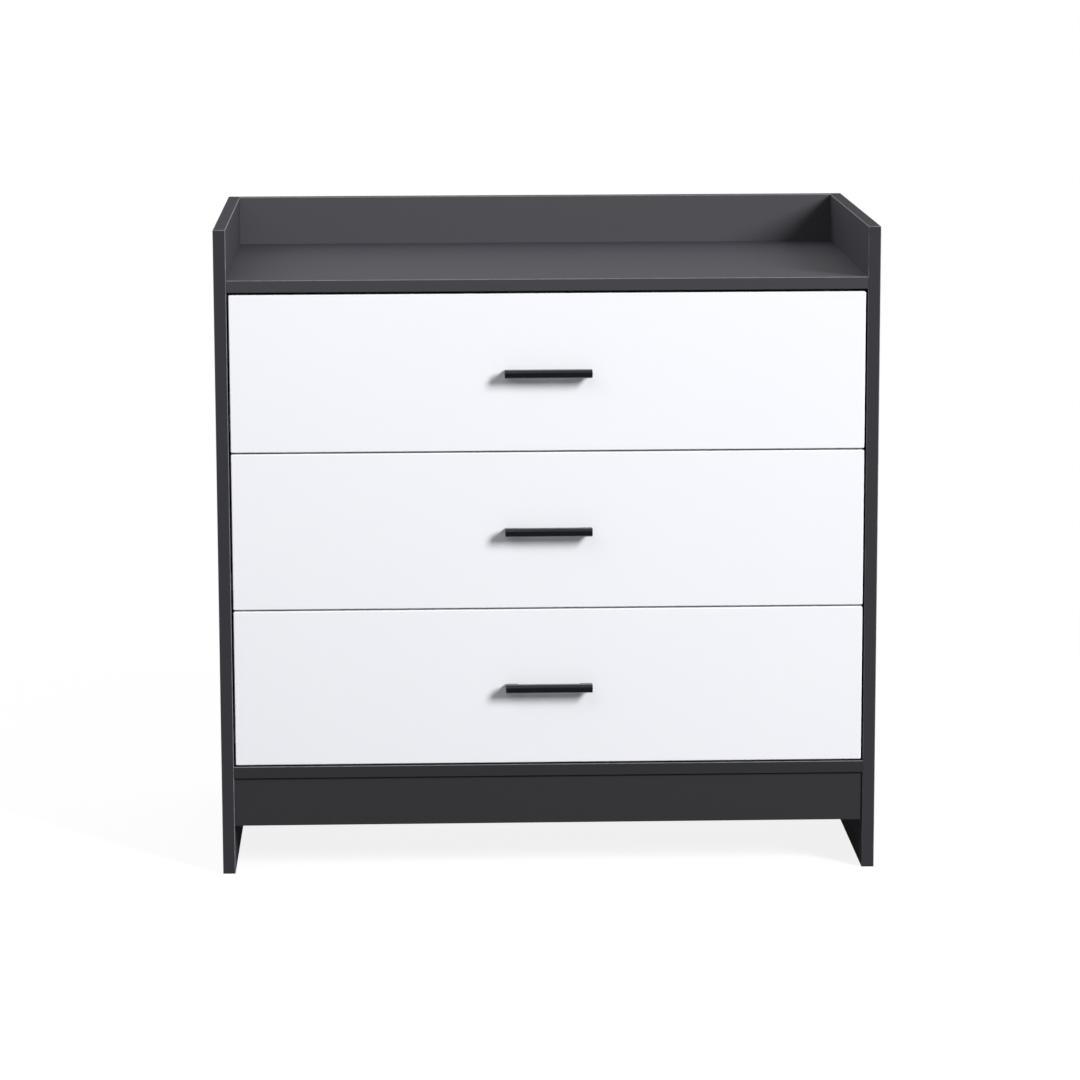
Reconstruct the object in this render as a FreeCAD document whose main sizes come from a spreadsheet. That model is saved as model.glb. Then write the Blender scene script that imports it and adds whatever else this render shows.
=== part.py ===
"""A changing table: a board carcass with a rimmed changing surface over three drawers on roller runners.

Units are millimetres. X runs across the table, Y from the front to the rear and Z up. The origin is on the
floor, under the middle of the whole table, handles included.
"""

import FreeCAD, Part  # noqa: E401  FreeCAD has to be imported before Part
import os
import Sketcher

SIZES = {
    # Carcass
    "overall_width": 850,
    "overall_height": 840,
    "overall_depth": 480,
    "board": 16,
    "rim_height": 64.5,
    "foot_clearance": 63.5,
    "plinth_height": 63,
    "plinth_recess": 3,
    "edge_chamfer": 0.8,
    # Hardboard back, held in grooves
    "back_sheet": 3,
    "back_inset": 10,
    "groove_depth": 8,
    "top_groove_depth": 6,
    "groove_play": 0.2,
    "sheet_end_play": 0.5,
    "nail_count": 5,
    "nail_length": 20,
    "nail_diameter": 1.6,
    "nail_head_diameter": 4.5,
    "nail_head_height": 0.8,
    "nail_end_distance": 60,
    # Cam fittings of the carcass
    "cam_diameter": 15,
    "cam_height": 12.5,
    "cam_setback": 34,
    "cam_row_inset": 52,
    "cam_play": 0.1,
    "cam_bore_spare": 0.2,
    "cam_bolt_diameter": 6,
    "cam_bolt_thread": 11,
    "cam_bolt_channel": 7,
    "cam_mouth_overrun": 4,
    # Drawer fronts
    "front_board": 16,
    "front_recess": 1,
    "gap_above": 3,
    "gap_between": 2.5,
    "gap_below": 2,
    "gap_beside": 2.5,
    "front_corner_chamfer": 1.2,
    # Drawer boxes
    "runner_space": 12.5,
    "box_board": 12,
    "box_height": 140,
    "box_length": 400,
    "box_lift": 25,
    "box_sheet": 3,
    "box_sheet_lift": 10,
    "box_groove_depth": 6,
    "box_housing_depth": 4,
    "box_back_setback": 4,
    # Cam fittings of the drawers
    "box_cam_diameter": 12,
    "box_cam_height": 9.5,
    "box_cam_setback": 24,
    "box_cam_rise": 80,
    "box_bolt_diameter": 5,
    "box_bolt_channel": 6,
    # Roller runners
    "rail_sheet": 1.2,
    "rail_front_gap": 2,
    "cabinet_rail_width": 9.8,
    "running_flange_rise": 17,
    "running_flange_width": 8.9,
    "holding_flange_width": 11,
    "flange_headroom": 1,
    "entry_length": 40,
    "roller_diameter": 16,
    "roller_width": 6,
    "roller_collar": 1,
    "roller_side_play": 0.2,
    "running_gap": 0.3,
    "stud_diameter": 5,
    "stud_play": 0.05,
    "stud_head_diameter": 7.5,
    "stud_head_height": 0.7,
    "front_roller_setback": 14,
    "rear_roller_setback": 12,
    "drawer_travel": 300,
    "stop_height": 3,
    "stop_thickness": 2,
    "stop_width": 5,
    # Runner screws
    "screw_diameter": 4,
    "screw_play": 0.1,
    "screw_length": 13,
    "screw_head_diameter": 7.4,
    "screw_head_height": 1.6,
    "cabinet_screw_front": 34,
    "cabinet_screw_pitch": 256,
    "box_screw_front": 30,
    "box_screw_rear": 50,
    "box_screw_tip_gap": 1,
    # Small round pieces are drawn with a few flats, their corners on the diameter
    "fastener_sides": 8,
    "round_sides": 12,
    # Bow handles
    "handle_length": 112,
    "handle_height": 10.8,
    "handle_projection": 22,
    "handle_bar": 10,
    "handle_hole_spacing": 96,
    "handle_leg": 16,
    "handle_leg_height": 7,
    "handle_end_chamfer": 1,
    "handle_inner_radius": 7,
    "handle_edge_radius": 4.6,
    "handle_screw_diameter": 4,
    "handle_screw_bite": 9,
    "handle_screw_play": 0.15,
    "handle_screw_head": 8,
    "handle_screw_head_height": 2.4,
}

# The drawers, counted from the top one.
LEVELS = (1, 2, 3)
# Which way each side lies along X.
HANDS = {"left": -1, "right": 1}

document = FreeCAD.newDocument("ChangingTable")
sheet = document.addObject("Spreadsheet::Sheet", "Sizes")
for row, (alias, size) in enumerate(SIZES.items(), start=1):
    sheet.set(f"A{row}", alias)
    sheet.set(f"B{row}", str(size))
    sheet.setAlias(f"B{row}", alias)
document.recompute()
pieces = []
# How a loose bar is turned to run along the axis across each plane.
TURNS = {
    "XY": FreeCAD.Rotation(),
    "XZ": FreeCAD.Rotation(FreeCAD.Vector(1, 0, 0), 90),
    "YZ": FreeCAD.Rotation(FreeCAD.Vector(1, 1, 1), 120),
}
# Places closer together than this are the same.
NEAR = 0.001


# Sizes worked out from the sheet, as expressions. Each piece is drawn from the carcass's front edge (y = 0)
# and mid plane (x = 0). The carcass stands on z = 0, and a drawer's pieces are drawn from the foot of its front.
HALF_WIDTH = "(Sizes.overall_width / 2)"
HALF_CLEAR = "(Sizes.overall_width / 2 - Sizes.board)"
FRONT_EDGE = "((Sizes.handle_projection - Sizes.front_recess - Sizes.overall_depth) / 2)"
SURFACE = "(Sizes.overall_height - Sizes.rim_height)"
TOP_UNDERSIDE = f"({SURFACE} - Sizes.board)"
BOTTOM_UNDERSIDE = "(Sizes.foot_clearance + Sizes.plinth_height)"
BAY_FLOOR = f"({BOTTOM_UNDERSIDE} + Sizes.board)"
FRONT_HEIGHT = (
    f"(({TOP_UNDERSIDE} - {BAY_FLOOR} - Sizes.gap_above - Sizes.gap_below"
    f" - {len(LEVELS) - 1} * Sizes.gap_between) / {len(LEVELS)})"
)
BACK_FACE = "(Sizes.overall_depth - Sizes.back_inset)"
BACK_FRONT_FACE = f"({BACK_FACE} - Sizes.back_sheet)"
FRONT_REAR = "(Sizes.front_recess + Sizes.front_board)"
BOX_REAR = f"({FRONT_REAR} + Sizes.box_length)"
BOX_HALF_WIDTH = f"({HALF_CLEAR} - Sizes.runner_space)"
BOX_HALF_INSIDE = f"({BOX_HALF_WIDTH} - Sizes.box_board)"
BOX_TOP = "(Sizes.box_lift + Sizes.box_height)"
BOX_SHEET_UNDERSIDE = "(Sizes.box_lift + Sizes.box_sheet_lift)"
BOX_SHEET_TOP = f"({BOX_SHEET_UNDERSIDE} + Sizes.box_sheet)"
BOX_BACK_REAR = f"({BOX_REAR} - Sizes.box_back_setback)"
BOX_BACK_FRONT = f"({BOX_BACK_REAR} - Sizes.box_board)"
ROLLER_RADIUS = "(Sizes.roller_diameter / 2)"
RAIL_FRONT = f"({FRONT_REAR} + Sizes.rail_front_gap)"
RAIL_REAR = f"({RAIL_FRONT} + Sizes.box_length)"
RUNNING_FACE = "(Sizes.box_lift + Sizes.running_flange_rise)"
ROLLER_AXIS = f"({RUNNING_FACE} - Sizes.running_gap - {ROLLER_RADIUS})"
TRACK_FACE = f"({ROLLER_AXIS} - {ROLLER_RADIUS} - Sizes.running_gap)"
TRACK_CEILING = f"({RUNNING_FACE} + Sizes.rail_sheet + Sizes.flange_headroom)"
FRONT_ROLLER_Y = f"({RAIL_FRONT} + Sizes.front_roller_setback)"
REAR_ROLLER_Y = f"({RAIL_REAR} - Sizes.rear_roller_setback)"
HANDLE_MIDDLE = f"({FRONT_HEIGHT} / 2)"
SCREW_HOLE = "(Sizes.screw_diameter + 2 * Sizes.screw_play)"
HANDLE_SCREW_HOLE = "(Sizes.handle_screw_diameter + 2 * Sizes.handle_screw_play)"
HANDLE_HOLES = ("-Sizes.handle_hole_spacing / 2", "Sizes.handle_hole_spacing / 2")
GROOVE_FRONT = f"({BACK_FRONT_FACE} - Sizes.groove_play)"
GROOVE_REAR = f"({BACK_FACE} + Sizes.groove_play)"
BOX_GROOVE_LOW = f"({BOX_SHEET_UNDERSIDE} - Sizes.groove_play)"
BOX_GROOVE_HIGH = f"({BOX_SHEET_TOP} + Sizes.groove_play)"
CAM_X = f"({HALF_CLEAR} - Sizes.cam_setback)"
BOX_CAM_Y = f"({FRONT_REAR} + Sizes.box_cam_setback)"
BOX_CAM_Z = "(Sizes.box_lift + Sizes.box_cam_rise)"
BOX_BOLT_X = f"({BOX_HALF_WIDTH} - Sizes.box_board / 2)"
# The box screws stop short of the groove for the box's bottom.
BOX_SCREW_LENGTH = "(Sizes.rail_sheet + Sizes.box_sheet_lift - Sizes.groove_play - Sizes.box_screw_tip_gap)"
BOX_SCREW_INSET = "Sizes.runner_space + Sizes.box_board / 2"
CABINET_SCREWS = tuple(
    f"({RAIL_FRONT} + Sizes.cabinet_screw_front + {step} * Sizes.cabinet_screw_pitch)" for step in (0, 1)
)
BOX_SCREWS = (f"({RAIL_FRONT} + Sizes.box_screw_front)", f"({RAIL_REAR} - Sizes.box_screw_rear)")
# A stop meets a roller at the height of its upper edge, this far from the roller's axis.
STOP_REACH = (
    f"(sqrt({ROLLER_RADIUS} ^ 2 - ({ROLLER_RADIUS} + Sizes.running_gap - Sizes.stop_height) ^ 2)"
    " + Sizes.running_gap)"
)
OPEN_STOP_REAR = f"({REAR_ROLLER_Y} - Sizes.drawer_travel - {STOP_REACH})"
CLOSED_STOP_FRONT = f"({REAR_ROLLER_Y} + {STOP_REACH})"
STOP_NEAR = "(Sizes.cabinet_rail_width - Sizes.stop_width)"
CAM_JOINTS = {
    "top_board": {
        "plane": "XY",
        "face": TOP_UNDERSIDE,
        "into": 1,
        "middle": f"{TOP_UNDERSIDE} + Sizes.board / 2",
        "rows": ("Sizes.cam_row_inset", "Sizes.overall_depth - Sizes.cam_row_inset"),
    },
    "bottom_board": {
        "plane": "XY",
        "face": BOTTOM_UNDERSIDE,
        "into": 1,
        "middle": f"{BOTTOM_UNDERSIDE} + Sizes.board / 2",
        "rows": ("Sizes.cam_row_inset", f"{BACK_FRONT_FACE} - Sizes.cam_row_inset"),
    },
    "back_upstand": {
        "plane": "XZ",
        "face": "Sizes.overall_depth",
        "into": -1,
        "middle": "Sizes.overall_depth - Sizes.board / 2",
        "rows": (f"{SURFACE} + Sizes.rim_height / 2",),
    },
    "plinth_board": {
        "plane": "XZ",
        "face": "(Sizes.plinth_recess + Sizes.board)",
        "into": -1,
        "middle": "Sizes.plinth_recess + Sizes.board / 2",
        "rows": ("Sizes.foot_clearance + Sizes.plinth_height / 2",),
    },
}


def level_floor(level):
    """The height of the lower edge of the drawer front on a level, counted from the top one."""
    below = len(LEVELS) - level
    return f"({BAY_FLOOR} + Sizes.gap_below + {below} * ({FRONT_HEIGHT} + Sizes.gap_between))"


def number(expression):
    """The value of an expression on the sheet's sizes."""
    return float(sheet.evalExpression(expression))


def place_piece(piece, name, base):
    """Sets a piece with its drawing origin on the carcass's front edge, at a height given by base."""
    piece.Label = name
    piece.setExpression("Placement.Base.y", FRONT_EDGE)
    piece.setExpression("Placement.Base.z", base)
    pieces.append(piece)
    return piece


def new_body(name, base="0"):
    """A single piece, or a pair, built up from features."""
    return place_piece(document.addObject("PartDesign::Body", name), name, base)


def new_group(name, base="0"):
    """A node for separate small pieces of one kind."""
    return place_piece(document.addObject("Part::Compound", name), name, base)


def origin_plane(body, axes):
    """One of the body's own origin planes: XY, XZ or YZ."""
    return next(item for item in body.Origin.OriginFeatures if item.Role == f"{axes}_Plane")


class Drawing:
    """A sketch on a plane of the body, moved out to a place along the plane's own axis."""

    def __init__(self, body, axes, place):
        self.body = body
        self.sketch = body.newObject("Sketcher::SketchObject", f"{body.Label}_sketch")
        self.sketch.AttachmentSupport = [(origin_plane(body, axes), "")]
        self.sketch.MapMode = "FlatFace"
        # The XZ plane looks forwards, against the Y axis.
        self.sign = -1 if axes == "XZ" else 1
        offset = f"-({place})" if self.sign < 0 else place
        self.sketch.setExpression("AttachmentOffset.Base.z", offset)

    def bind(self, constraint, expression):
        index = self.sketch.addConstraint(constraint)
        self.sketch.setExpression(f"Constraints[{index}]", expression)

    def fix_point(self, geometry, point, across, up):
        """Holds a point of the sketch at two distances from its origin."""
        self.bind(Sketcher.Constraint("DistanceX", -1, 1, geometry, point, number(across)), across)
        self.bind(Sketcher.Constraint("DistanceY", -1, 1, geometry, point, number(up)), up)

    def circle(self, across, up, diameter):
        centre = FreeCAD.Vector(number(across), number(up), 0)
        round_edge = Part.Circle(centre, FreeCAD.Vector(0, 0, 1), number(diameter) / 2)
        geometry = self.sketch.addGeometry(round_edge, False)
        self.fix_point(geometry, 3, across, up)
        self.bind(Sketcher.Constraint("Diameter", geometry, number(diameter)), diameter)
        return self

    def polygon(self, corners):
        """A closed outline of straight edges through the corners, each an (across, up) pair."""
        places = [FreeCAD.Vector(number(across), number(up), 0) for across, up in corners]
        first = self.sketch.GeometryCount
        count = len(corners)
        for index in range(count):
            edge = Part.LineSegment(places[index], places[(index + 1) % count])
            self.sketch.addGeometry(edge, False)
        for index in range(count):
            following = first + (index + 1) % count
            self.sketch.addConstraint(Sketcher.Constraint("Coincident", first + index, 2, following, 1))
        for index, (across, up) in enumerate(corners):
            self.fix_point(first + index, 1, across, up)
        return self

    def rectangle(self, left, low, right, high):
        return self.polygon([(left, low), (right, low), (right, high), (left, high)])

    def pad(self, length, towards=1):
        """Adds material from the sketch along its plane's axis, or against it when towards is -1."""
        feature = self.body.newObject("PartDesign::Pad", f"{self.body.Label}_pad")
        feature.Profile = self.sketch
        feature.setExpression("Length", length)
        feature.Reversed = towards * self.sign < 0
        return feature

    def pocket(self, depth, towards=1):
        """Cuts material from the sketch along its plane's axis, or against it when towards is -1."""
        feature = self.body.newObject("PartDesign::Pocket", f"{self.body.Label}_pocket")
        feature.Profile = self.sketch
        feature.setExpression("Length", depth)
        feature.Reversed = towards * self.sign > 0
        return feature


def low_end(place, length, towards):
    """The lower end of what runs over a length from a place, along its axis or, towards -1, against it."""
    return place if towards > 0 else f"({place} - ({length}))"


def bind_prism(prism, sides, circumradius, length):
    prism.setExpression("Polygon", sides)
    prism.setExpression("Circumradius", circumradius)
    prism.setExpression("Height", length)


def body_prism(body, kind, axes, place, centre, circumradius, length, towards, sides):
    """A few-sided prism added to a body or cut from it, along the axis across one of its planes."""
    feature = body.newObject(f"PartDesign::{kind}Prism", f"{body.Label}_prism")
    feature.AttachmentSupport = [(origin_plane(body, axes), "")]
    feature.MapMode = "FlatFace"
    bind_prism(feature, sides, circumradius, length)
    low = low_end(place, length, towards)
    start = f"-({low} + {length})" if axes == "XZ" else low
    for letter, value in zip("xyz", (*centre, start)):
        feature.setExpression(f"AttachmentOffset.Base.{letter}", value)


def boss(body, axes, place, centre, diameter, length, towards=1):
    """A round boss drawn with flats, its corners on the diameter."""
    body_prism(body, "Additive", axes, place, centre, f"{diameter} / 2", length, towards, "Sizes.round_sides")


def hole(body, axes, place, centre, diameter, length, towards=1, sides="Sizes.fastener_sides"):
    """A round hole drawn with flats, which lie on the diameter."""
    circumradius = f"{diameter} / 2 / cos(180 / {sides})"
    body_prism(body, "Subtractive", axes, place, centre, circumradius, length, towards, sides)


def bar(axes, place, centre, diameter, length, towards=1, sides="Sizes.fastener_sides"):
    """A loose round bar drawn with flats, along the axis across a plane, its corners on the diameter."""
    prism = document.addObject("Part::Prism", "bar")
    bind_prism(prism, sides, f"{diameter} / 2", length)
    prism.Placement = FreeCAD.Placement(FreeCAD.Vector(), TURNS[axes])
    low = low_end(place, length, towards)
    across, up = centre
    base = {"XY": (across, up, low), "XZ": (across, f"{low} + {length}", up), "YZ": (low, across, up)}[axes]
    for letter, value in zip("xyz", base):
        prism.setExpression(f"Placement.Base.{letter}", value)
    return prism


def block(low, high):
    """A loose block between two corners."""
    box = document.addObject("Part::Box", "block")
    for letter, size, start, end in zip("xyz", ("Length", "Width", "Height"), low, high):
        box.setExpression(f"Placement.Base.{letter}", start)
        box.setExpression(size, f"{end} - ({start})")
    return box


def screw(axes, seat, centre, towards, head, shank):
    """A screw with its head on a seat and its shank running on from it, each given as (diameter, length)."""
    joined = document.addObject("Part::MultiFuse", "screw")
    joined.Shapes = [bar(axes, seat, centre, *head, -towards), bar(axes, seat, centre, *shank, towards)]
    return joined


def cam(axes, face, centre, towards, size, mouth):
    """A cam let into a face, with a mouth cut into it for the end of its bolt; size is (diameter, length)."""
    cut = document.addObject("Part::Cut", "cam")
    cut.Base = bar(axes, face, centre, *size, towards, sides="Sizes.round_sides")
    cut.Tool = mouth
    return cut


def mirror(body, features):
    """Repeats features on the other side of the body's mid plane."""
    copy = body.newObject("PartDesign::Mirrored", f"{body.Label}_mirror")
    copy.Originals = features
    copy.MirrorPlane = (origin_plane(body, "YZ"), [""])
    body.Tip = copy
    return copy


def edge_names(shape, wanted):
    """The names of the shape's edges for which wanted(edge) holds."""
    return [f"Edge{index}" for index, edge in enumerate(shape.Edges, start=1) if wanted(edge)]


def soften(body, kind, size, wanted):
    """A chamfer or fillet of the body's last feature along the edges that are wanted."""
    document.recompute()
    base = body.Tip
    feature = body.newObject(f"PartDesign::{kind}", f"{body.Label}_{kind.lower()}")
    feature.Base = (base, edge_names(base.Shape, wanted))
    feature.setExpression("Size" if kind == "Chamfer" else "Radius", size)
    return feature


def is_at(edge, axis, place):
    """Whether the whole edge lies at one place along an axis, 0 for X, 1 for Y and 2 for Z."""
    box = edge.BoundBox
    low = (box.XMin, box.YMin, box.ZMin)[axis]
    high = (box.XMax, box.YMax, box.ZMax)[axis]
    return abs(low - place) < NEAR and abs(high - place) < NEAR


def reaches(edge, axis, place):
    """Whether the whole edge lies at a place along an axis or at the same distance on its other side."""
    return is_at(edge, axis, place) or is_at(edge, axis, -place)


def along(edge, axis):
    """Whether a straight edge runs along an axis, 0 for X, 1 for Y and 2 for Z."""
    box = edge.BoundBox
    lengths = (box.XLength, box.YLength, box.ZLength)
    return lengths[axis] > 0.999 * sum(lengths)


def side_panel(side, hand):
    """A full-height side whose front foot reaches the floor, grooved on the inside for the back panel."""
    body = new_body(f"side_panel_{side}")
    outline = Drawing(body, "YZ", f"{hand} * {HALF_WIDTH}")
    outline.rectangle("0", "0", "Sizes.overall_depth", "Sizes.overall_height").pad("Sizes.board", -hand)
    groove = Drawing(body, "YZ", f"{hand} * {HALF_CLEAR}")
    groove.rectangle(GROOVE_FRONT, "0", GROOVE_REAR, f"{TOP_UNDERSIDE} + Sizes.top_groove_depth")
    groove.pocket("Sizes.groove_depth", hand)
    top = number("Sizes.overall_height")
    soften(body, "Chamfer", "Sizes.edge_chamfer", lambda edge: is_at(edge, 1, 0) or is_at(edge, 2, top))


def lying_board(name, underside, rear):
    """A level board between the sides, from their front edges to a rear line."""
    body = new_body(name)
    outline = Drawing(body, "XY", underside)
    outline.rectangle(f"-{HALF_CLEAR}", "0", HALF_CLEAR, rear).pad("Sizes.board")
    return body


def soften_long_edges(body, axis, place):
    """Chamfers the edges that run across the table at a place along an axis, 1 for Y and 2 for Z."""
    at = number(place)
    soften(body, "Chamfer", "Sizes.edge_chamfer", lambda edge: along(edge, 0) and is_at(edge, axis, at))


def top_board():
    body = lying_board("top_board", TOP_UNDERSIDE, "Sizes.overall_depth")
    groove = Drawing(body, "XY", TOP_UNDERSIDE)
    groove.rectangle(f"-{HALF_CLEAR}", GROOVE_FRONT, HALF_CLEAR, GROOVE_REAR).pocket("Sizes.top_groove_depth")
    cam_seats(body, CAM_JOINTS["top_board"])
    soften_long_edges(body, 1, "0")


def bottom_board():
    body = lying_board("bottom_board", BOTTOM_UNDERSIDE, BACK_FRONT_FACE)
    cam_seats(body, CAM_JOINTS["bottom_board"])
    soften_long_edges(body, 1, "0")


def back_upstand():
    """The board that stands on the rear of the top board and rims the changing surface."""
    body = new_body("back_upstand")
    outline = Drawing(body, "XZ", "Sizes.overall_depth")
    outline.rectangle(f"-{HALF_CLEAR}", SURFACE, HALF_CLEAR, "Sizes.overall_height")
    outline.pad("Sizes.board", -1)
    cam_seats(body, CAM_JOINTS["back_upstand"])
    soften_long_edges(body, 2, "Sizes.overall_height")


def plinth_board():
    """The board under the bottom board, set back a little from its front edge."""
    body = new_body("plinth_board")
    outline = Drawing(body, "XZ", "Sizes.plinth_recess")
    outline.rectangle(f"-{HALF_CLEAR}", "Sizes.foot_clearance", HALF_CLEAR, BOTTOM_UNDERSIDE)
    outline.pad("Sizes.board")
    cam_seats(body, CAM_JOINTS["plinth_board"])


def cam_seats(body, joint):
    """Bores for the cams in the face of a board, and the channels from its ends in which their bolts lie."""
    width = "(Sizes.cam_diameter + 2 * Sizes.cam_play)"
    depth = "(Sizes.cam_height + Sizes.cam_bore_spare)"
    for hand in HANDS.values():
        for row in joint["rows"]:
            centre = (f"{hand} * {CAM_X}", row)
            layout = (joint["plane"], joint["face"], centre, width, depth, joint["into"])
            hole(body, *layout, sides="Sizes.round_sides")
        for place in bolt_places(joint):
            layout = (f"{hand} * {HALF_CLEAR}", place, "Sizes.cam_bolt_channel", "Sizes.cam_setback", -hand)
            hole(body, "YZ", *layout)


def bolt_places(joint):
    """Where the bolts of a board run, as (y, z): level boards have them in a row along Y, others along Z."""
    if joint["plane"] == "XY":
        return [(row, joint["middle"]) for row in joint["rows"]]
    return [(joint["middle"], row) for row in joint["rows"]]


def cam_locks():
    """The cams that pull the boards onto the side panels."""
    group = new_group("cam_locks")
    size = ("Sizes.cam_diameter", "Sizes.cam_height")
    locks = []
    for joint in CAM_JOINTS.values():
        for hand in HANDS.values():
            for row, place in zip(joint["rows"], bolt_places(joint)):
                mouth = cam_mouth(hand, place, joint)
                centre = (f"{hand} * {CAM_X}", row)
                locks.append(cam(joint["plane"], joint["face"], centre, joint["into"], size, mouth))
    group.Links = locks


def cam_mouth(hand, place, joint):
    """What a cam has cut away for its bolt, from its inner end to the far side of the bolt's channel."""
    reach = (f"({CAM_X} + Sizes.cam_diameter)", f"({CAM_X} - Sizes.cam_mouth_overrun)")
    outer, inner = (f"{hand} * {side}" for side in reach)
    half = "Sizes.cam_bolt_channel / 2"
    low = [inner if hand > 0 else outer, *(f"({middle} - {half})" for middle in place)]
    high = [outer if hand > 0 else inner, *(f"({middle} + {half})" for middle in place)]
    depth_axis = 2 if joint["plane"] == "XY" else 1
    inner_end = f"({joint['face']} + {joint['into']} * Sizes.cam_height)"
    open_side = high if joint["into"] > 0 else low
    open_side[depth_axis] = inner_end
    return block(low, high)


def cam_bolts():
    """Steel bolts screwed into the side panels, whose other ends reach the middle of the cams."""
    group = new_group("cam_bolts")
    length = "(Sizes.cam_bolt_thread + Sizes.cam_setback)"
    bolts = []
    for joint in CAM_JOINTS.values():
        for place in bolt_places(joint):
            for hand in HANDS.values():
                start = f"{hand} * ({HALF_CLEAR} + Sizes.cam_bolt_thread)"
                bolts.append(bar("YZ", start, place, "Sizes.cam_bolt_diameter", length, -hand))
    group.Links = bolts


def back_panel():
    """The hardboard back, held in the grooves of the sides and the top board."""
    body = new_body("back_panel")
    half_width = f"({HALF_CLEAR} + Sizes.groove_depth - Sizes.sheet_end_play)"
    top = f"{TOP_UNDERSIDE} + Sizes.top_groove_depth - Sizes.sheet_end_play"
    outline = Drawing(body, "XZ", BACK_FACE)
    outline.rectangle(f"-{half_width}", BOTTOM_UNDERSIDE, half_width, top).pad("Sizes.back_sheet", -1)


def back_panel_nails():
    """Nails through the hardboard into the rear edge of the bottom board."""
    group = new_group("back_panel_nails")
    head = ("Sizes.nail_head_diameter", "Sizes.nail_head_height")
    shank = ("Sizes.nail_diameter", "Sizes.nail_length")
    end = f"({HALF_CLEAR} - Sizes.nail_end_distance)"
    nails = []
    for index in range(round(number("Sizes.nail_count"))):
        across = f"{end} * (2 * {index} / (Sizes.nail_count - 1) - 1)"
        centre = (across, f"{BOTTOM_UNDERSIDE} + Sizes.board / 2")
        nails.append(screw("XZ", BACK_FACE, centre, -1, head, shank))
    group.Links = nails


def drawer_front(level):
    """An inset front with softened edges, grooved behind for the drawer's bottom and bored for the handle."""
    body = new_body(f"drawer_{level}_front", level_floor(level))
    half_width = f"({HALF_CLEAR} - Sizes.gap_beside)"
    outline = Drawing(body, "XZ", "Sizes.front_recess")
    outline.rectangle(f"-{half_width}", "0", half_width, FRONT_HEIGHT).pad("Sizes.front_board")
    soften(body, "Chamfer", "Sizes.front_corner_chamfer", lambda edge: along(edge, 1))
    face = number("Sizes.front_recess")
    soften(body, "Chamfer", "Sizes.edge_chamfer", lambda edge: is_at(edge, 1, face))
    groove_end = f"({BOX_HALF_INSIDE} + Sizes.box_groove_depth)"
    groove = Drawing(body, "XZ", FRONT_REAR)
    groove.rectangle(f"-{groove_end}", BOX_GROOVE_LOW, groove_end, BOX_GROOVE_HIGH)
    groove.pocket("Sizes.box_groove_depth", -1)
    for across in HANDLE_HOLES:
        hole(body, "XZ", FRONT_REAR, (across, HANDLE_MIDDLE), HANDLE_SCREW_HOLE, "Sizes.front_board", -1)


def drawer_side(level, side, hand):
    """A box side with a groove for the bottom, a housing for the back and a cam bore near the front."""
    body = new_body(f"drawer_{level}_side_{side}", level_floor(level))
    outer = f"{hand} * {BOX_HALF_WIDTH}"
    inner = f"{hand} * {BOX_HALF_INSIDE}"
    outline = Drawing(body, "YZ", outer)
    outline.rectangle(FRONT_REAR, "Sizes.box_lift", BOX_REAR, BOX_TOP).pad("Sizes.box_board", -hand)
    groove = Drawing(body, "YZ", inner)
    groove.rectangle(FRONT_REAR, BOX_GROOVE_LOW, BOX_REAR, BOX_GROOVE_HIGH)
    groove.pocket("Sizes.box_groove_depth", hand)
    housing = Drawing(body, "YZ", inner)
    housing.rectangle(
        f"{BOX_BACK_FRONT} - Sizes.groove_play",
        BOX_GROOVE_LOW,
        f"{BOX_BACK_REAR} + Sizes.groove_play",
        BOX_TOP,
    )
    housing.pocket("Sizes.box_housing_depth", hand)
    bore_width = "(Sizes.box_cam_diameter + 2 * Sizes.cam_play)"
    bore_depth = "(Sizes.box_cam_height + Sizes.cam_bore_spare)"
    centre = (BOX_CAM_Y, BOX_CAM_Z)
    hole(body, "YZ", outer, centre, bore_width, bore_depth, -hand, sides="Sizes.round_sides")
    bolt_centre = (f"{hand} * {BOX_BOLT_X}", BOX_CAM_Z)
    hole(body, "XZ", FRONT_REAR, bolt_centre, "Sizes.box_bolt_channel", "Sizes.box_cam_setback")
    top = number(BOX_TOP)
    soften(body, "Chamfer", "Sizes.edge_chamfer", lambda edge: along(edge, 1) and is_at(edge, 2, top))


def drawer_back(level):
    """The rear of the box: its ends sit in the sides' housings and its lower edge on the bottom."""
    body = new_body(f"drawer_{level}_back", level_floor(level))
    half_width = f"({BOX_HALF_INSIDE} + Sizes.box_housing_depth - Sizes.sheet_end_play)"
    outline = Drawing(body, "XZ", BOX_BACK_REAR)
    outline.rectangle(f"-{half_width}", BOX_SHEET_TOP, half_width, BOX_TOP).pad("Sizes.box_board", -1)
    soften_long_edges(body, 2, BOX_TOP)


def drawer_bottom(level):
    """A hardboard sheet in the grooves of the front and the sides, running under the back."""
    body = new_body(f"drawer_{level}_bottom", level_floor(level))
    half_width = f"({BOX_HALF_INSIDE} + Sizes.box_groove_depth - Sizes.sheet_end_play)"
    front = f"{FRONT_REAR} - Sizes.box_groove_depth + Sizes.sheet_end_play"
    outline = Drawing(body, "XY", BOX_SHEET_UNDERSIDE)
    outline.rectangle(f"-{half_width}", front, half_width, BOX_BACK_REAR).pad("Sizes.box_sheet")


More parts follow.
